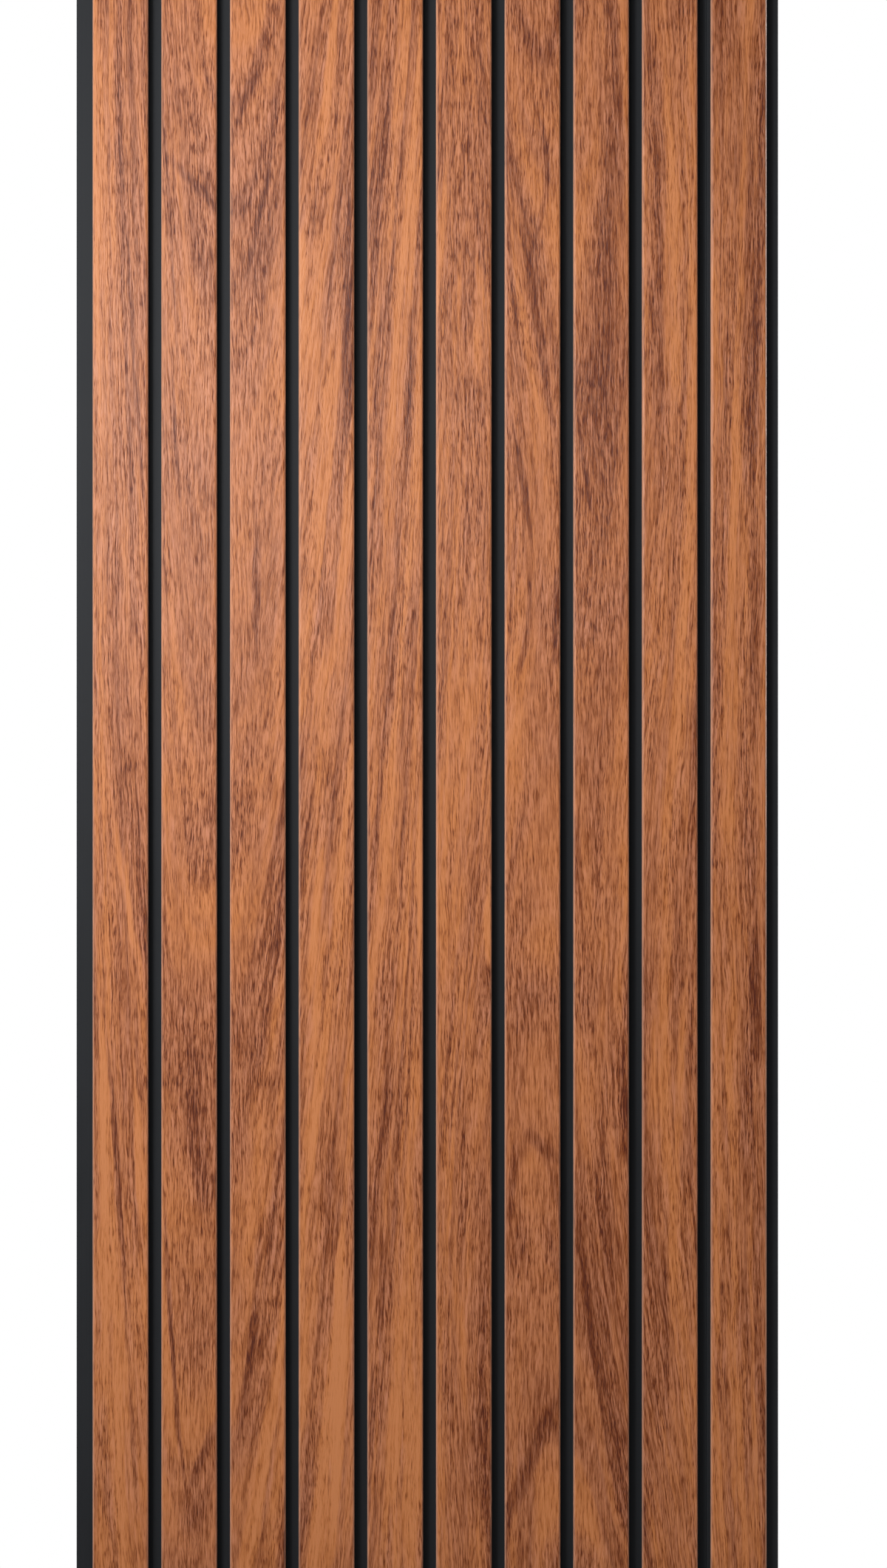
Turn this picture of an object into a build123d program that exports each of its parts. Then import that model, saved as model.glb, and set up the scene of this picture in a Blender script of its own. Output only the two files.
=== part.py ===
"""Slatted PVC cladding panel: a hollow black extrusion with a wood-grain film over each slat.

Millimetres. The panel stands upright: +Z runs along its length, its front faces -Y and its back
lies in the plane y = 0. The origin is on the back, in the middle of the row of slats.
"""
import os

from build123d import *

# Overall
panel_length = 1200.0
slat_count = 10
slat_pitch = 40.0
slat_width = 32.5  # over the film
slat_height = 8.0  # film face above the groove floor
base_depth = 6.0  # back to groove floor

# Decor film, wrapped over each slat's face, arrises and the top of its walls
film_thickness = 0.3
film_return = 0.8  # straight run down each wall, below the arris
arris_radius = 1.5  # outside of the film

# Extruded walls
face_wall = 1.8
side_wall = 1.7
back_wall = 1.8
floor_wall = 1.5
web_wall = 1.4
chamber_radius = 0.8
floor_chamber_radius = 0.5
root_radius = 0.6  # groove floor to slat wall

# Half-lap edges: the next panel's tongue goes under this panel's lip
tongue_reach = 10.5
tongue_thickness = 2.7
lap_clearance = 0.3  # between a tongue and the lip over it
lap_end_gap = 0.5  # between a tongue's tip and the end of the rebate
lap_edge_radius = 0.6

# Ledge in the last groove, along the foot of the last slat
ledge_width = 2.2
ledge_height = 3.0
ledge_radius = 0.5

# Keying grooves for adhesive on the back, under each slat
key_count = 3
key_pitch = 9.0
key_width = 3.0
key_depth = 0.5

# Worked out from the values above. Front is towards -Y, so depths in front of the back are negative.
film_front = -(base_depth + slat_height)
slat_front = film_front + film_thickness
groove_floor = -base_depth
film_foot = film_front + arris_radius + film_return
body_slat_width = slat_width - 2 * film_thickness
groove_width = slat_pitch - slat_width
slat_centres = [(number - (slat_count - 1) / 2) * slat_pitch for number in range(slat_count)]
body_left = slat_centres[0] - body_slat_width / 2
body_right = slat_centres[-1] + body_slat_width / 2
tongue_left = slat_centres[0] - slat_width / 2 - tongue_reach
lip_right = slat_centres[-1] + slat_width / 2 + groove_width
lip_back = -(tongue_thickness + lap_clearance)
rebate_left = lip_right - tongue_reach - lap_end_gap
last_slat_left = slat_centres[-1] - body_slat_width / 2
ledge_left = last_slat_left - ledge_width
ledge_front = groove_floor - ledge_height
chamber_front = slat_front + face_wall
chamber_depth = -back_wall - chamber_front
chamber_width = (body_slat_width - web_wall) / 2 - side_wall
floor_chamber_depth = base_depth - floor_wall - back_wall
floor_chamber_width = slat_pitch - body_slat_width + 2 * (side_wall - web_wall)
end_plane = Plane.XY.offset(-panel_length / 2)


def rectangle_between(left, right, front, back, mode=Mode.ADD):
    """Rectangle in the section, given by its four sides."""
    with Locations(((left + right) / 2, (front + back) / 2)):
        Rectangle(right - left, back - front, mode=mode)


def corner_near(sketch, x, y):
    """The sketch's corner nearest to a place."""
    return sketch.vertices().sort_by_distance((x, y, 0))[0]


def slat_outline(width, front, foot, radius):
    """Section of one slat about x = 0, with its two front arrises rounded."""
    with BuildSketch() as outline:
        rectangle_between(-width / 2, width / 2, front, foot)
        fillet(outline.vertices().group_by(Axis.Y)[0], radius=radius)
    return outline.sketch


with BuildPart() as panel_profile:
    with BuildSketch(end_plane) as section:
        # Base plate and slats, with a small radius along each groove's two roots
        rectangle_between(body_left, body_right, groove_floor, 0)
        slat_body = slat_outline(body_slat_width, slat_front, groove_floor, arris_radius - film_thickness)
        with Locations(*[(centre, 0) for centre in slat_centres]):
            add(slat_body)
        roots = section.vertices().filter_by_position(Axis.Y, groove_floor, groove_floor)
        fillet(roots, radius=root_radius)

        # Tongue on the left edge
        rectangle_between(tongue_left, body_left, -tongue_thickness, 0)
        fillet(corner_near(section, tongue_left, -tongue_thickness), radius=lap_edge_radius)
        fillet(corner_near(section, body_left, -tongue_thickness), radius=root_radius)

        # Lip on the right edge, and the rebate under it
        rectangle_between(body_right, lip_right, groove_floor, lip_back)
        fillet(corner_near(section, lip_right, groove_floor), radius=lap_edge_radius)
        fillet(corner_near(section, body_right, groove_floor), radius=root_radius)
        rectangle_between(rebate_left, lip_right, lip_back, 0, mode=Mode.SUBTRACT)

        # Ledge in the last groove
        rectangle_between(ledge_left, last_slat_left, ledge_front, groove_floor)
        fillet(corner_near(section, ledge_left, ledge_front), radius=ledge_radius)
        fillet(corner_near(section, ledge_left, groove_floor), radius=root_radius)

        # Two chambers in each slat, either side of a web. The last one stops short of the rebate.
        *full_chambers, _ = [
            (centre + side * (web_wall + chamber_width) / 2, (chamber_front - back_wall) / 2)
            for centre in slat_centres
            for side in (-1, 1)
        ]
        with Locations(*full_chambers):
            RectangleRounded(chamber_width, chamber_depth, chamber_radius, mode=Mode.SUBTRACT)
        last_chamber_left = slat_centres[-1] + web_wall / 2
        last_chamber_width = min(body_right, rebate_left) - side_wall - last_chamber_left
        with Locations((last_chamber_left + last_chamber_width / 2, (chamber_front - back_wall) / 2)):
            RectangleRounded(last_chamber_width, chamber_depth, chamber_radius, mode=Mode.SUBTRACT)

        # One flat chamber under each groove
        groove_centres = [centre + slat_pitch / 2 for centre in slat_centres[:-1]]
        with Locations(*[(centre, (groove_floor + floor_wall - back_wall) / 2) for centre in groove_centres]):
            RectangleRounded(
                floor_chamber_width, floor_chamber_depth, floor_chamber_radius, mode=Mode.SUBTRACT
            )

        # Keying grooves in the back
        with Locations(*[(centre, -key_depth / 2) for centre in slat_centres]):
            with GridLocations(key_pitch, 0, key_count, 1):
                Rectangle(key_width, key_depth, mode=Mode.SUBTRACT)
    extrude(amount=panel_length)

os.makedirs("parts", exist_ok=True)
panel_profile.part.label = "panel_profile"
export_step(panel_profile.part, "parts/panel_profile.step")

# One film strip over each slat
film_outside = slat_outline(slat_width, film_front, film_foot, arris_radius)
film_inside = slat_outline(body_slat_width, slat_front, film_foot, arris_radius - film_thickness)
for number, centre in enumerate(slat_centres, start=1):
    with BuildPart() as wood_film:
        with BuildSketch(end_plane):
            with Locations((centre, 0)):
                add(film_outside)
                add(film_inside, mode=Mode.SUBTRACT)
        extrude(amount=panel_length)
    wood_film.part.label = f"wood_film_{number:02d}"
    export_step(wood_film.part, f"parts/{wood_film.part.label}.step")
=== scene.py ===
"""Looks of the slatted cladding panel: wood-grain film, black extruded PVC, soft light and camera."""
import math
from typing import NamedTuple

import bpy
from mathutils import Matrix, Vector


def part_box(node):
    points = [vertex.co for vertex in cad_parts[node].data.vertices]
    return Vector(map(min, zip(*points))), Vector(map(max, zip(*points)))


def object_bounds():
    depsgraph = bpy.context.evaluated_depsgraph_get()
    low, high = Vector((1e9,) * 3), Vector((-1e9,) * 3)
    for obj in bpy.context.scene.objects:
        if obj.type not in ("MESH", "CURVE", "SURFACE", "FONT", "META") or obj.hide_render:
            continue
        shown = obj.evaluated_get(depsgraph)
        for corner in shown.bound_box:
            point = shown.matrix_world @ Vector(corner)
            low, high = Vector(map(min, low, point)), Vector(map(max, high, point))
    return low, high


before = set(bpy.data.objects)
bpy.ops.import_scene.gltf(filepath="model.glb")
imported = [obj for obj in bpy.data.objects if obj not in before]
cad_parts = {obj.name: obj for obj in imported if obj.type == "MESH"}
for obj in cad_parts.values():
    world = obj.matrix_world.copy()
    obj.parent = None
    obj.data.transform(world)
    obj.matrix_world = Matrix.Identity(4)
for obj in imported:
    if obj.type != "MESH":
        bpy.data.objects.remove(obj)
cad_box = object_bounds()

# Places and sizes read from the frame, in metres
films = sorted(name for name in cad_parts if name.startswith("wood_film"))
first_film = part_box(films[0])
second_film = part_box(films[1])
slat_pitch = second_film[0].x - first_film[0].x
slat_width = first_film[1].x - first_film[0].x
first_slat_centre = (first_film[0].x + first_film[1].x) / 2
slats_middle = (first_film[0].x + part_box(films[-1])[1].x) / 2
film_face = first_film[0].y
floor_height = cad_box[0].z

MM_PER_M = 1000.0

# Photograph, in pixels, and its scale on the panel's face
PHOTO_WIDTH_PX = 1200
PHOTO_HEIGHT_PX = 2121
PHOTO_SLATS_CENTRE_PX = 581.1
PHOTO_PITCH_PX = 92.95
METRES_PER_PX = slat_pitch / PHOTO_PITCH_PX

# Wood figure, in millimetres on the printed sheet: across it from the first slat's left edge with
# the grooves left out, and along it from the middle of the panel. Each heart is a flat-sawn cut
# through growth rings, and a ring's radius is its distance from the heart's pith.
LEFT_AXIS = 58.3
LEFT_LEAN = 0.0242  # sideways drift of the axis for each millimetre up
LEFT_TAPER = 8.6  # how fast the pith nears the face
LEFT_TOP = 628.6  # where the pith would reach the face
LEFT_SQUEEZE = 1.45  # the rings are closer on the heart's left side
RIGHT_AXIS = 224.0
RIGHT_SWAY = 14.3  # the axis sways sideways along the panel
RIGHT_SWAY_LENGTH = 775.0
RIGHT_SWAY_TOP = 176.7
RIGHT_SWAY_NEAR = 35.0  # the sway fades out between these distances from the axis
RIGHT_SWAY_FAR = 90.0
RIGHT_DEPTH = 3000.0  # square of the pith's depth at the saddle
RIGHT_SADDLE = -8.0
RIGHT_SADDLE_SPAN = 60.0
RIGHT_TAPER_UP = 4.4
RIGHT_TAPER_DOWN = 5.2
RIGHT_OFFSET = 62.0  # moves the seam between the two hearts
SEAM_BLEND = 8.0
SEAM_CALM = 32.0  # the figure is straight up to this far from the seam
LIMB_BLEND = 6.0
CHART_REACH = 220.0
CHART_SPAN = 4.0  # the chart's greys stand for a darkness from -2 to 2
# Dark veins: ring radius, strength and the share of it in the halo away from the pith.
# A light band has a strength below zero.
LEFT_LIMB_VEINS = (
    (44.6, 0.4, 0.4),
    (49.8, 0.5, 0.3),
    (65.0, 0.8, 0.4),
    (76.0, 0.5, 0.5),
    (86.3, 0.5, 0.7),
    (95.0, 0.8, 0.5),
    (105.0, -0.8, 0.8),
    (118.0, 0.7, 0.4),
)
RIGHT_LIMB_VEINS = (
    (44.6, 0.6, 0.4),
    (49.8, 0.7, 0.4),
    (57.0, 0.6, 0.4),
    (62.0, -0.7, 0.8),
    (74.0, 0.6, 0.4),
    (82.3, 0.9, 0.4),
    (86.3, 0.8, 0.3),
    (95.0, 1.1, 0.4),
    (100.0, -1.0, 0.8),
    (107.5, 0.9, 0.3),
    (112.0, -1.0, 0.8),
    (119.0, 0.7, 0.4),
    (125.7, 1.1, 0.4),
    (132.0, -0.6, 0.8),
    (140.0, 0.7, 0.4),
    (147.0, 0.9, 0.4),
)
RIGHT_VEINS = (
    (36.9, 0.9, 0.4),
    (47.1, 0.7, 0.5),
    (50.4, 0.3, 0.5),
    (54.0, 0.2, 0.4),
    (60.0, 0.3, 0.4),
    (68.0, 0.2, 0.4),
    (74.0, -0.6, 0.8),
    (84.0, 0.7, 0.4),
    (93.0, -0.5, 0.8),
    (104.0, 0.6, 0.4),
)
VEIN_INNER = 0.7  # sharper start of the ring
VEIN_OUTER = 1.3
VEIN_HALO = 7.0
VEINS_IN_A_RAMP = 7


class Streak(NamedTuple):
    """One streak of the figure: its middle, its length, how it leans and bows, half width, darkness.

    Millimetres on the printed sheet. Lean and bow are the sideways shifts at the upper end.
    A pale streak has a darkness below zero.
    """

    across: float
    along: float
    length: float
    lean: float
    bow: float
    width: float
    darkness: float


STREAKS = (
    # First slat
    Streak(24.7, 243.0, 210.0, -6.5, 0.0, 2.2, 0.5),
    Streak(13.9, -217.0, 245.0, -8.9, -2.8, 2.1, 0.7),
    Streak(24.3, -387.0, 86.0, -2.6, 0.0, 2.2, 0.5),
    Streak(19.0, -60.0, 130.0, -11.3, 0.9, 3.0, -0.6),
    Streak(6.5, -250.0, 250.0, -1.5, 0.0, 4.0, -0.6),
    Streak(27.0, -217.0, 82.0, -2.0, 0.0, 3.5, -0.6),
    # Second slat
    Streak(52.0, 349.0, 40.0, -18.0, 0.0, 5.0, 0.4),
    Streak(40.3, 208.0, 110.0, -3.0, 2.6, 1.8, 0.5),
    Streak(50.0, -178.0, 150.0, -9.0, -2.5, 9.0, 0.4),
    Streak(51.5, -205.0, 90.0, -2.5, 0.0, 3.5, 0.35),
    Streak(58.0, -236.0, 50.0, -3.0, 0.0, 7.0, 0.3),
    Streak(38.6, -323.0, 202.0, -7.1, 2.0, 2.1, 0.9),
    Streak(57.2, -390.0, 50.0, 10.0, -1.0, 3.6, 0.6),
    Streak(54.0, -424.0, 45.0, 0.0, 0.0, 12.0, 0.35),
    # Third slat
    Streak(79.7, 418.0, 110.0, 15.0, -2.5, 3.5, 0.6),
    Streak(85.8, 349.0, 130.0, 11.5, -2.8, 2.5, 0.5),
    Streak(80.6, 116.0, 90.0, 0.0, 0.0, 3.1, 0.6),
    Streak(78.9, -314.0, 146.0, 6.5, -3.0, 3.0, 0.55),
    # Fourth slat
    Streak(125.7, 266.0, 185.0, 0.0, 2.6, 3.6, 0.75),
    Streak(115.3, 404.0, 130.0, 4.8, 0.0, 4.0, -0.6),
    Streak(98.8, 299.0, 70.0, 0.0, 0.0, 3.0, -0.6),
    Streak(106.6, -129.0, 232.0, 4.0, 0.0, 5.0, -0.6),
    Streak(120.5, -350.0, 215.0, 2.4, 0.0, 4.5, -0.5),
    # Fifth slat
    Streak(137.8, 258.0, 138.0, 7.6, 4.1, 2.8, 0.5),
    Streak(154.3, 232.0, 130.0, 0.0, 0.0, 2.2, 0.5),
    Streak(141.7, -189.0, 73.0, 1.0, 0.0, 2.5, 0.55),
    Streak(138.7, -293.0, 86.0, 0.9, 0.0, 3.0, 0.5),
    Streak(132.6, -372.0, 77.0, 1.0, 0.0, 2.8, 0.6),
    Streak(145.2, 413.0, 95.0, 0.0, 0.0, 4.0, -0.5),
    Streak(160.8, -54.0, 112.0, 0.0, 0.0, 2.8, -0.8),
    # Sixth slat
    Streak(186.3, 271.0, 82.0, 0.0, 0.0, 3.0, -0.5),
    Streak(193.3, -82.0, 56.0, 0.0, 0.0, 3.5, -0.7),
    # Seventh slat
    Streak(219.7, 355.0, 104.0, 1.0, -12.5, 2.5, 0.6),
    Streak(214.5, 267.0, 130.0, -10.4, -1.3, 3.4, 0.75),
    Streak(206.7, 172.0, 90.0, -6.3, -2.0, 2.5, 0.6),
    Streak(208.4, 94.0, 82.0, 4.5, -3.3, 2.5, 0.6),
    Streak(225.0, 97.0, 70.0, 0.5, 0.0, 3.1, 0.7),
    Streak(217.0, -211.0, 24.0, -10.0, 0.0, 7.0, 0.45),
    Streak(209.3, -395.0, 100.0, 20.0, 2.0, 6.0, 0.5),
    Streak(199.5, -235.0, 70.0, 2.5, 0.0, 3.0, 0.5),
    Streak(212.0, -252.0, 84.0, -3.0, 0.0, 8.0, -0.4),
    # Eighth slat
    Streak(249.0, -300.0, 200.0, -10.0, 2.0, 9.0, 0.25),
    Streak(242.0, 290.0, 280.0, 0.0, 0.0, 16.0, 0.3),
    Streak(234.4, 183.0, 65.0, -4.3, 0.9, 2.2, 0.6),
    Streak(230.0, -45.0, 70.0, 0.0, 0.0, 2.8, 0.5),
    Streak(256.0, -178.0, 86.0, -2.4, 0.0, 3.1, 0.6),
    Streak(239.6, -333.0, 211.0, -15.2, 3.9, 2.4, 0.45),
    # Ninth slat
    Streak(277.7, 301.0, 240.0, 0.0, 1.5, 7.0, -0.5),
    Streak(282.5, -174.0, 155.0, 3.2, 0.0, 3.5, -0.6),
    Streak(273.8, -292.0, 150.0, 0.0, 1.0, 2.5, 0.5),
    # Tenth slat
    Streak(313.0, 290.0, 300.0, -2.0, 0.0, 7.0, 0.45),
    Streak(318.0, 90.0, 160.0, 0.0, 0.0, 5.0, 0.5),
    Streak(319.0, -125.0, 100.0, 0.0, 0.0, 5.0, 0.6),
    Streak(296.0, -290.0, 100.0, 0.0, 0.0, 2.8, -0.8),
    # Broad lighter and darker patches of whole slats
    Streak(16.0, -374.0, 260.0, 0.0, 0.0, 24.0, -0.3),
    Streak(81.0, -73.0, 240.0, 0.0, 0.0, 24.0, 0.2),
    Streak(114.0, 120.0, 380.0, 0.0, 0.0, 24.0, -0.35),
    Streak(114.0, -374.0, 260.0, 0.0, 0.0, 24.0, -0.5),
    Streak(146.0, -380.0, 240.0, 0.0, 0.0, 24.0, -0.3),
    Streak(179.0, 378.0, 260.0, 0.0, 0.0, 24.0, 0.25),
    Streak(211.0, 378.0, 220.0, 0.0, 0.0, 24.0, 0.2),
    Streak(211.0, 5.0, 360.0, 0.0, 0.0, 24.0, -0.3),
)

# Paler colour along the slats' arrises, partly stretched film and partly a painted highlight,
# stronger on the left arrises that face the light
ARRIS_HIGHLIGHT_WIDTH = 1.3
ARRIS_HIGHLIGHT_COLOUR = (0.58, 0.31, 0.21)
LEFT_ARRIS_HIGHLIGHT = 0.7
RIGHT_ARRIS_HIGHLIGHT = 0.45

NOISE_MEAN = 0.5


class Layer(NamedTuple):
    """Noise on the printed sheet: cell across and along in millimetres, octaves, how much the
    finer octaves count, seed and strength.
    """

    width: float
    length: float
    detail: float
    roughness: float
    seed: float
    strength: float


WANDER = Layer(60.0, 260.0, 1.0, 0.5, 3.1, 5.0)
RIPPLE = Layer(9.0, 45.0, 1.0, 0.5, 7.7, 2.2)
CURL = Layer(4.0, 14.0, 1.0, 0.5, 13.9, 1.0)
VEIN_FADING = Layer(45.0, 160.0, 1.0, 0.5, 11.3, 1.2)
BROAD = Layer(46.0, 240.0, 2.0, 0.5, 17.9, 0.4)
RING_LINES = Layer(6.0, 330.0, 3.0, 0.6, 19.4, 0.8)
RING_FIBRE = Layer(0.9, 30.0, 3.0, 0.65, 23.4, 1.0)
HEART_FIBRE = Layer(1.2, 20.0, 3.0, 0.65, 27.1, 1.0)
PORES = Layer(0.7, 8.0, 2.0, 0.6, 41.2, 1.0)
HAIRS = Layer(0.32, 9.0, 1.0, 0.5, 53.3, 1.0)
CLUSTERS = Layer(8.0, 130.0, 2.0, 0.5, 47.7, 1.8)
STREAK_FADING = Layer(14.0, 40.0, 1.0, 0.5, 59.9, 1.0)
CAST = Layer(4.0, 45.0, 2.0, 0.5, 67.3, 1.0)
LIMB_NEAR = 14.0  # fibres follow the rings away from a heart's axis
LIMB_FAR = 34.0
DIE_LINES = Layer(0.8, 400.0, 2.0, 0.5, 2.2, 1.0)
CLOUD = Layer(25.0, 60.0, 3.0, 0.5, 5.5, 1.0)
SAW_MARKS = Layer(0.5, 40.0, 2.0, 0.6, 71.7, 1.0)
SAW_SLANT = 0.35  # the saw's marks run across the cut ends at this slope

# Tone of the print, from 0 to 1, and its colour in linear light
PALETTE = (
    (-0.20, (0.074, 0.010, 0.001)),
    (0.00, (0.120, 0.021, 0.002)),
    (0.20, (0.186, 0.045, 0.008)),
    (0.36, (0.252, 0.074, 0.021)),
    (0.50, (0.318, 0.104, 0.034)),
    (0.66, (0.412, 0.143, 0.051)),
    (1.00, (0.504, 0.193, 0.086)),
)
PALETTE_LOW = PALETTE[0][0]
PALETTE_HIGH = PALETTE[-1][0]
# The pale wood is more orange, and the dark bands are more mauve
ORANGE_CAST = (1.01, 0.97, 0.80)
MAUVE_CAST = (0.96, 1.04, 1.50)
BAND_CAST = 2.0
CLUSTER_CAST = 0.4

# What each part of the figure takes from the tone of the plain print
PLAIN_TONE = 0.94
VEIN_SHARE = 0.32
STREAK_SHARE = 0.42
LINE_SHARE = 0.66
PORE_SHARE = 0.5
HAIR_SHARE = 0.6
VEIN_LEVEL = 0.9  # veins and streaks fade about these levels
STREAK_LEVEL = 1.2
CLUSTER_LEVEL = 1.0
CLUSTER_LEAST = 0.2
LINE_EDGES = (-0.25, 0.3)  # noise at which a line or pore begins, and at which it is full
PORE_EDGES = (-0.08, 0.3)
STREAK_BUSY = 0.3  # lines and pores are denser in streaks and clusters
CLUSTER_BUSY = 0.5

# Finish of the film. A relief has a strength and a depth in metres.
FILM_ROUGHNESS = 0.34
FIBRE_ROUGHNESS = 0.15
PORE_ROUGHNESS = 0.1
FILM_SPECULAR = 0.17
FILM_RELIEF = (0.3, 0.0002)

# Black extrusion: its tone from 0 to 1, the colour of it in linear light, and its finish
PVC_PALETTE = (
    (0.0, (0.0125, 0.0135, 0.015)),
    (0.6, (0.0235, 0.025, 0.028)),
    (1.0, (0.040, 0.041, 0.043)),
)
PVC_TONE = 0.3
DIE_LINE_SHARE = 0.2
CLOUD_SHARE = 0.25
CUT_SHARE = 0.4  # the sawn ends are paler
CUT_EDGES = (0.6, 0.9)  # how far a face turns to the panel's length to count as a sawn end
PVC_ROUGHNESS = 0.45
UNEVEN_ROUGHNESS = 0.15
PVC_SPECULAR = 0.05
PVC_RELIEF = (0.15, 0.0001)

# Places of the colour sockets on a Mix node, which share their names with other sockets
MIX_COLOUR_A = 6
MIX_COLOUR_B = 7
MIX_COLOUR_RESULT = 2

# Surroundings, in metres apart from the floor's fade, which is in millimetres from the panel
FILL = 0.02  # strength of the even light from all around
FLOOR_REACH = 6.0
FLOOR_COLOUR = (0.82, 0.82, 0.81)
FLOOR_ROUGHNESS = 0.9
FADE_START = 60.0
FADE_END = 280.0
FADE_SQUEEZE = 0.5  # the fade is longer to the sides
CAMERA_DISTANCE = 2.0
SENSOR_WIDTH_MM = 36.0


class SoftBox(NamedTuple):
    """Rectangular light: place, target and size in metres, power in watts, spread in degrees."""

    name: str
    place: tuple
    target: tuple
    width: float
    height: float
    power: float
    spread: float


SOFT_BOXES = (
    SoftBox("key", (-0.7, -1.0, 0.38), (-0.15, 0.0, 0.24), 0.6, 0.9, 3.6, 110.0),
    SoftBox("side", (-0.6, -1.2, 0.36), (0.0, 0.0, 0.3), 0.3, 0.4, 3.9, 110.0),
    # Gives the sheen at the upper left
    SoftBox("front", (-0.28, -1.2, 0.4), (-0.1, 0.0, 0.26), 0.4, 0.4, 1.25, 110.0),
    SoftBox("low", (-0.7, -1.0, -0.5), (-0.15, 0.0, -0.45), 0.5, 0.5, 0.7, 90.0),
    # Rakes over the keying grooves in the back
    SoftBox("back", (1.5, 0.9, 0.5), (0.0, 0.0, 0.0), 0.5, 1.2, 40.0, 180.0),
)


class Field:
    """A shader value that can be used in arithmetic."""

    def __init__(self, tree, socket):
        self.tree = tree
        self.socket = socket

    def math(self, operation, *others):
        node = self.tree.nodes.new("ShaderNodeMath")
        node.operation = operation
        for place, value in zip(node.inputs, (self, *others)):
            connect(self.tree, value, place)
        return Field(self.tree, node.outputs[0])

    def __add__(self, other):
        return self.math("ADD", other)

    def __sub__(self, other):
        return self.math("SUBTRACT", other)

    def __mul__(self, other):
        return self.math("MULTIPLY", other)

    def __truediv__(self, other):
        return self.math("DIVIDE", other)

    def times_plus(self, factor, addend):
        return self.math("MULTIPLY_ADD", factor, addend)

    def squared(self):
        return self.math("MULTIPLY", self)

    def root(self):
        return self.math("SQRT")

    def floor(self):
        return self.math("FLOOR")

    def absolute(self):
        return self.math("ABSOLUTE")

    def cosine(self):
        return self.math("COSINE")

    def clamped(self):
        """Kept between 0 and 1."""
        self.socket.node.use_clamp = True
        return self

    def larger(self, other):
        return self.math("MAXIMUM", other)

    def smooth_step(self, low, high):
        """0 below low, 1 above high and a smooth rise between them."""
        node = self.tree.nodes.new("ShaderNodeMapRange")
        node.interpolation_type = "SMOOTHSTEP"
        connect(self.tree, self, node.inputs["Value"])
        node.inputs["From Min"].default_value = low
        node.inputs["From Max"].default_value = high
        return Field(self.tree, node.outputs["Result"])

    def mixed(self, other, share):
        """This value where share is 0 and the other where it is 1."""
        node = self.tree.nodes.new("ShaderNodeMix")
        connect(self.tree, share, node.inputs["Factor"])
        connect(self.tree, self, node.inputs["A"])
        connect(self.tree, other, node.inputs["B"])
        return Field(self.tree, node.outputs["Result"])


def connect(tree, value, place):
    """Links a field to a socket, or sets a plain number on it."""
    if isinstance(value, Field):
        tree.links.new(value.socket, place)
    else:
        place.default_value = value


def noise(layer, across, along):
    """One layer of smooth noise about 0."""
    tree = across.tree
    place = tree.nodes.new("ShaderNodeCombineXYZ")
    connect(tree, across / layer.width + layer.seed, place.inputs["X"])
    connect(tree, along / layer.length + layer.seed, place.inputs["Y"])
    node = tree.nodes.new("ShaderNodeTexNoise")
    node.noise_dimensions = "2D"
    node.inputs["Scale"].default_value = 1.0
    node.inputs["Detail"].default_value = layer.detail
    node.inputs["Roughness"].default_value = layer.roughness
    tree.links.new(place.outputs["Vector"], node.inputs["Vector"])
    return (Field(tree, node.outputs["Fac"]) - NOISE_MEAN) * layer.strength


def ramp(field, stops):
    """Colour at each position from 0 to 1."""
    tree = field.tree
    node = tree.nodes.new("ShaderNodeValToRGB")
    node.color_ramp.interpolation = "LINEAR"
    connect(tree, field, node.inputs["Fac"])
    elements = node.color_ramp.elements
    while len(elements) < len(stops):
        elements.new(1.0)
    for element, (position, colour) in zip(elements, stops):
        element.position = position
        element.color = (*colour, 1.0)
    return Field(tree, node.outputs["Color"])


def ring_chart(radius, veins):
    """Darkness of the growth rings at each distance from the pith, about 0."""
    total = 0.0
    for first in range(0, len(veins), VEINS_IN_A_RAMP):
        stops = []
        for ring, strength, halo in veins[first:first + VEINS_IN_A_RAMP]:
            stops.append((ring - VEIN_INNER, 0.0))
            stops.append((ring, strength))
            stops.append((ring + VEIN_OUTER, strength * halo))
            stops.append((ring + VEIN_HALO, 0.0))
        stops.sort()
        greys = [(place / CHART_REACH, (0.5 + value / CHART_SPAN,) * 3) for place, value in stops]
        chart = ramp(radius / CHART_REACH, greys) * CHART_SPAN - CHART_SPAN / 2
        total = chart + total
    return total


def figure_streaks(across, along):
    """Darkness of the single streaks of the figure, each strongest in its middle."""
    total = 0.0
    for streak in STREAKS:
        half = streak.length / 2
        share = along.times_plus(1 / half, -streak.along / half)
        lean = share.times_plus(-streak.bow / streak.width, -streak.lean / streak.width)
        middle = lean.times_plus(share, -streak.across / streak.width)
        aside = across.times_plus(1 / streak.width, middle)
        away = aside.times_plus(aside, share.squared())
        total = (away * -1.0 + 1.0).clamped().times_plus(streak.darkness, total)
    return total


def tinted(colour, tint):
    """The colour with each of its three parts scaled."""
    return [part * share for part, share in zip(colour, tint)]


def mixed_colour(field, other, share):
    """The field's colour where share is 0, and another field's or a plain colour where it is 1."""
    tree = field.tree
    node = tree.nodes.new("ShaderNodeMix")
    node.data_type = "RGBA"
    connect(tree, share, node.inputs["Factor"])
    connect(tree, field, node.inputs[MIX_COLOUR_A])
    colour = other if isinstance(other, Field) else (*other, 1.0)
    connect(tree, colour, node.inputs[MIX_COLOUR_B])
    return Field(tree, node.outputs[MIX_COLOUR_RESULT])


def print_colour(tone, tint):
    """The print's colour at each tone, under a tint."""
    reach = PALETTE_HIGH - PALETTE_LOW
    stops = [((level - PALETTE_LOW) / reach, tinted(shade, tint)) for level, shade in PALETTE]
    return ramp((tone - PALETTE_LOW) / reach, stops)


def new_material(name):
    """Empty node material with a Principled shader."""
    material = bpy.data.materials.new(name)
    material.use_nodes = True
    return material, material.node_tree, material.node_tree.nodes["Principled BSDF"]


def emboss(shader, height, strength, depth):
    """Gives a shader a fine relief."""
    tree = height.tree
    relief = tree.nodes.new("ShaderNodeBump")
    relief.inputs["Strength"].default_value = strength
    relief.inputs["Distance"].default_value = depth
    tree.links.new(height.socket, relief.inputs["Height"])
    tree.links.new(relief.outputs["Normal"], shader.inputs["Normal"])


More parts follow.
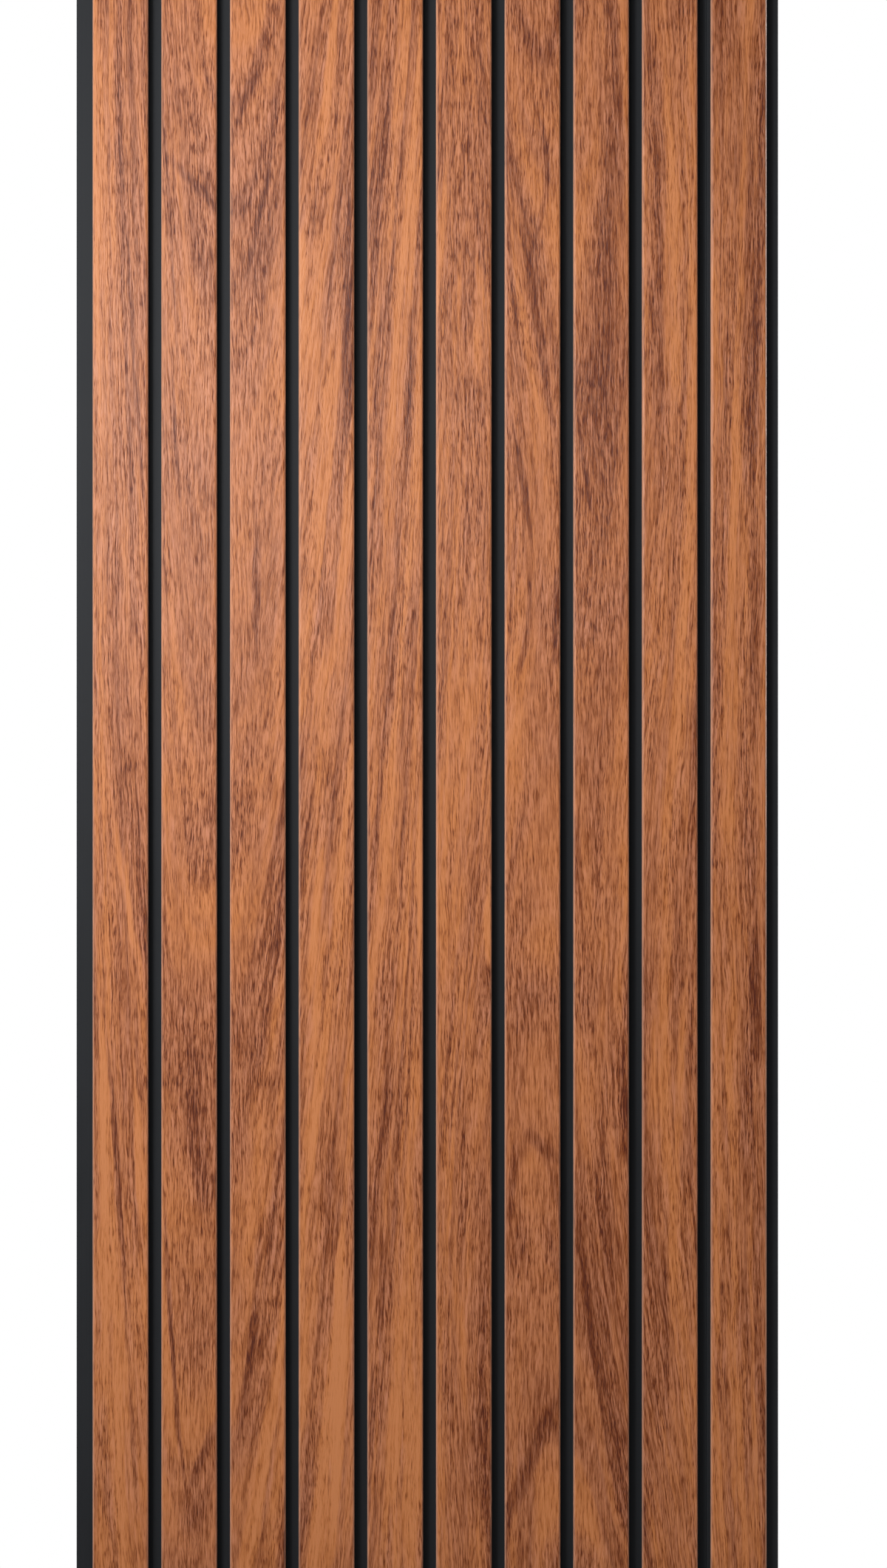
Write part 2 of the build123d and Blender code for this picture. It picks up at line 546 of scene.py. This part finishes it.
def object_place(tree):
    """The frame's X, Y and Z in millimetres at the shaded point."""
    coordinates = tree.nodes.new("ShaderNodeTexCoord")
    scaled = tree.nodes.new("ShaderNodeVectorMath")
    scaled.operation = "SCALE"
    scaled.inputs["Scale"].default_value = MM_PER_M
    tree.links.new(coordinates.outputs["Object"], scaled.inputs[0])
    parts = tree.nodes.new("ShaderNodeSeparateXYZ")
    tree.links.new(scaled.outputs["Vector"], parts.inputs["Vector"])
    return [Field(tree, parts.outputs[axis]) for axis in "XYZ"]


def growth_rings(across, along):
    """Darkness of the main growth rings of both hearts, the ring radius for finer lines, how far
    the fibre follows the rings, and how clear the place is of the seam between the hearts.
    """
    from_axis = across - (along * LEFT_LEAN + LEFT_AXIS)
    limb = from_axis.smooth_step(-LIMB_BLEND, LIMB_BLEND)
    left_side = from_axis.larger(from_axis * -LEFT_SQUEEZE)
    left_radius = (left_side.squared() + (along * -1.0 + LEFT_TOP) * LEFT_TAPER).larger(0.0).root()

    turn = (along - RIGHT_SWAY_TOP) * (2 * math.pi / RIGHT_SWAY_LENGTH)
    beside = across - RIGHT_AXIS
    near = beside.absolute().smooth_step(RIGHT_SWAY_FAR, RIGHT_SWAY_NEAR)
    right_side = beside - turn.cosine() * near * RIGHT_SWAY
    from_saddle = along - RIGHT_SADDLE
    bend = (from_saddle.squared() + RIGHT_SADDLE_SPAN**2).root() - RIGHT_SADDLE_SPAN
    half_sum = (RIGHT_TAPER_UP + RIGHT_TAPER_DOWN) / 2
    half_difference = (RIGHT_TAPER_UP - RIGHT_TAPER_DOWN) / 2
    rise = bend * half_sum + from_saddle * half_difference
    right_radius = (right_side.squared() - rise + RIGHT_DEPTH).larger(0.0).root()

    past_seam = left_radius - right_radius - RIGHT_OFFSET
    seam = past_seam.smooth_step(-SEAM_BLEND, SEAM_BLEND)
    off_seam = past_seam.absolute().smooth_step(SEAM_BLEND / 2, SEAM_CALM)
    left_chart = ring_chart(left_radius, LEFT_LIMB_VEINS)
    right_chart = ring_chart(left_radius, RIGHT_LIMB_VEINS)
    heart_chart = ring_chart(right_radius, RIGHT_VEINS)
    veins = left_chart.mixed(right_chart, limb).mixed(heart_chart, seam) * off_seam
    radius = left_radius.mixed(right_radius + RIGHT_OFFSET, seam)
    aside = left_side.mixed(right_side.absolute(), seam)
    return veins, radius, aside.smooth_step(LIMB_NEAR, LIMB_FAR) * off_seam, off_seam


def wood_film():
    """Printed wood-grain film with embossed pores and a satin lacquer."""
    material, tree, shader = new_material("wood_grain_film")
    x, _, along = object_place(tree)
    pitch = slat_pitch * MM_PER_M
    width = slat_width * MM_PER_M
    from_edge = x - (first_slat_centre * MM_PER_M - pitch / 2)
    number = (from_edge / pitch).floor()
    in_slat = from_edge - number * pitch - pitch / 2
    across = number * width + in_slat + width / 2

    curl = noise(CURL, across, along)
    swirled = across + noise(RIPPLE, across, along) + curl
    grain = swirled + noise(WANDER, across, along)
    veins, radius, limb, off_seam = growth_rings(grain, along)
    fading = noise(VEIN_FADING, across, along) + VEIN_LEVEL
    streak_fading = noise(STREAK_FADING, across, along) + STREAK_LEVEL
    streaks = figure_streaks(swirled, along) * streak_fading
    heart_fibre = noise(HEART_FIBRE, grain, along)
    ring_fibre = noise(RING_FIBRE, radius, along)
    fibre = heart_fibre.mixed(ring_fibre, limb)
    lines = fibre.smooth_step(*LINE_EDGES)
    clusters = (noise(CLUSTERS, radius, along) + CLUSTER_LEVEL).larger(CLUSTER_LEAST)
    pores = noise(PORES, grain, along).smooth_step(*PORE_EDGES) * clusters
    hairs = noise(HAIRS, grain, along)
    busy = (streaks * STREAK_BUSY + 1.0) * (clusters * CLUSTER_BUSY + (1.0 - CLUSTER_BUSY))
    bands = (
        veins * fading * VEIN_SHARE
        + streaks * STREAK_SHARE
        - noise(RING_LINES, grain.mixed(radius, off_seam), along)
        - noise(BROAD, across, along)
    )
    fine = lines * busy * LINE_SHARE
    tone = bands * -1.0 - fine - pores * busy * PORE_SHARE - hairs * HAIR_SHARE + PLAIN_TONE
    cast = (bands * BAND_CAST + clusters * CLUSTER_CAST + noise(CAST, radius, along)).clamped()
    colour = mixed_colour(print_colour(tone, ORANGE_CAST), print_colour(tone, MAUVE_CAST), cast)
    # Painted highlight: the arrises' paler colour, stronger on the left arrises that face the light
    left_arris_highlight = (in_slat * -1.0).smooth_step(width / 2 - ARRIS_HIGHLIGHT_WIDTH, width / 2)
    right_arris_highlight = in_slat.smooth_step(width / 2 - ARRIS_HIGHLIGHT_WIDTH, width / 2)
    arris_highlight = left_arris_highlight * LEFT_ARRIS_HIGHLIGHT + right_arris_highlight * RIGHT_ARRIS_HIGHLIGHT
    colour = mixed_colour(colour, ARRIS_HIGHLIGHT_COLOUR, arris_highlight)
    tree.links.new(colour.socket, shader.inputs["Base Color"])
    rough = fibre * FIBRE_ROUGHNESS + pores * PORE_ROUGHNESS + FILM_ROUGHNESS
    tree.links.new(rough.socket, shader.inputs["Roughness"])
    shader.inputs["Specular IOR Level"].default_value = FILM_SPECULAR
    emboss(shader, (lines + pores) * -1.0, *FILM_RELIEF)
    return material


def black_pvc():
    """Matt black extrusion with faint die lines along it and saw marks on its ends."""
    material, tree, shader = new_material("black_pvc")
    x, y, along = object_place(tree)
    geometry = tree.nodes.new("ShaderNodeNewGeometry")
    normal = tree.nodes.new("ShaderNodeSeparateXYZ")
    tree.links.new(geometry.outputs["True Normal"], normal.inputs["Vector"])
    cut = Field(tree, normal.outputs["Z"]).absolute().smooth_step(*CUT_EDGES)
    saw_marks = noise(SAW_MARKS, y - x * SAW_SLANT, x)
    lines = noise(DIE_LINES, x + y, along).mixed(saw_marks, cut)
    cloud = noise(CLOUD, x + y, along)
    tone = lines * DIE_LINE_SHARE + cloud * CLOUD_SHARE + cut * CUT_SHARE + PVC_TONE
    colour = ramp(tone, PVC_PALETTE)
    tree.links.new(colour.socket, shader.inputs["Base Color"])
    rough = lines * UNEVEN_ROUGHNESS + cloud * UNEVEN_ROUGHNESS + PVC_ROUGHNESS
    tree.links.new(rough.socket, shader.inputs["Roughness"])
    shader.inputs["Specular IOR Level"].default_value = PVC_SPECULAR
    emboss(shader, lines, *PVC_RELIEF)
    return material


def seen_directly(tree):
    """1 for what the camera, a mirror or glass shows, and 0 for light that falls on the object."""
    path = tree.nodes.new("ShaderNodeLightPath")
    camera = Field(tree, path.outputs["Is Camera Ray"])
    glossy = Field(tree, path.outputs["Is Glossy Ray"])
    through = Field(tree, path.outputs["Is Transmission Ray"])
    return camera.larger(glossy).larger(through)


def make_world():
    """White to look at, and a dim even fill for the object."""
    world = bpy.data.worlds.new("studio")
    world.use_nodes = True
    tree = world.node_tree
    background = tree.nodes["Background"]
    background.inputs["Color"].default_value = (1.0, 1.0, 1.0, 1.0)
    strength = seen_directly(tree) * (1.0 - FILL) + FILL
    tree.links.new(strength.socket, background.inputs["Strength"])
    bpy.context.scene.world = world


def make_floor():
    """Pale floor under the panel, which fades into the white background."""
    mesh = bpy.data.meshes.new("floor")
    corners = [
        (-FLOOR_REACH, -FLOOR_REACH, floor_height),
        (FLOOR_REACH, -FLOOR_REACH, floor_height),
        (FLOOR_REACH, FLOOR_REACH, floor_height),
        (-FLOOR_REACH, FLOOR_REACH, floor_height),
    ]
    mesh.from_pydata(corners, [], [(0, 1, 2, 3)])
    floor = bpy.data.objects.new("floor", mesh)
    bpy.context.scene.collection.objects.link(floor)

    material, tree, shader = new_material("floor")
    shader.inputs["Base Color"].default_value = (*FLOOR_COLOUR, 1.0)
    shader.inputs["Roughness"].default_value = FLOOR_ROUGHNESS
    white = tree.nodes.new("ShaderNodeEmission")
    mix = tree.nodes.new("ShaderNodeMixShader")
    x, y, _ = object_place(tree)
    distance = (x.squared() * FADE_SQUEEZE**2 + y.squared()).root()
    share = distance.smooth_step(FADE_START, FADE_END) * seen_directly(tree)
    share_place, near_place, far_place = mix.inputs
    tree.links.new(share.socket, share_place)
    tree.links.new(shader.outputs["BSDF"], near_place)
    tree.links.new(white.outputs["Emission"], far_place)
    tree.links.new(mix.outputs["Shader"], tree.nodes["Material Output"].inputs["Surface"])
    mesh.materials.append(material)


def soft_light(box):
    """Rectangular soft light that faces its target."""
    data = bpy.data.lights.new(box.name, "AREA")
    data.shape = "RECTANGLE"
    data.size = box.width
    data.size_y = box.height
    data.energy = box.power
    data.spread = math.radians(box.spread)
    light = bpy.data.objects.new(box.name, data)
    bpy.context.scene.collection.objects.link(light)
    light.location = box.place
    light.rotation_mode = "QUATERNION"
    light.rotation_quaternion = (Vector(box.target) - Vector(box.place)).to_track_quat("-Z", "Y")


def make_camera():
    """Straight-on camera that sees the stretch of panel in the photograph."""
    data = bpy.data.cameras.new("camera")
    data.sensor_width = SENSOR_WIDTH_MM
    data.lens = data.sensor_width * CAMERA_DISTANCE / (PHOTO_HEIGHT_PX * METRES_PER_PX)
    camera = bpy.data.objects.new("camera", data)
    bpy.context.scene.collection.objects.link(camera)
    aside = (PHOTO_WIDTH_PX / 2 - PHOTO_SLATS_CENTRE_PX) * METRES_PER_PX
    camera.location = (slats_middle + aside, film_face - CAMERA_DISTANCE, 0.0)
    camera.rotation_euler = (math.pi / 2, 0.0, 0.0)
    bpy.context.scene.camera = camera


def dress(name, material):
    """Gives one solid its material."""
    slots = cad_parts[name].data.materials
    slots.clear()
    slots.append(material)


film_material = wood_film()
for film in films:
    dress(film, film_material)
dress("panel_profile", black_pvc())

make_world()
make_floor()
for box in SOFT_BOXES:
    soft_light(box)
make_camera()
bpy.context.scene.view_settings.view_transform = "Standard"
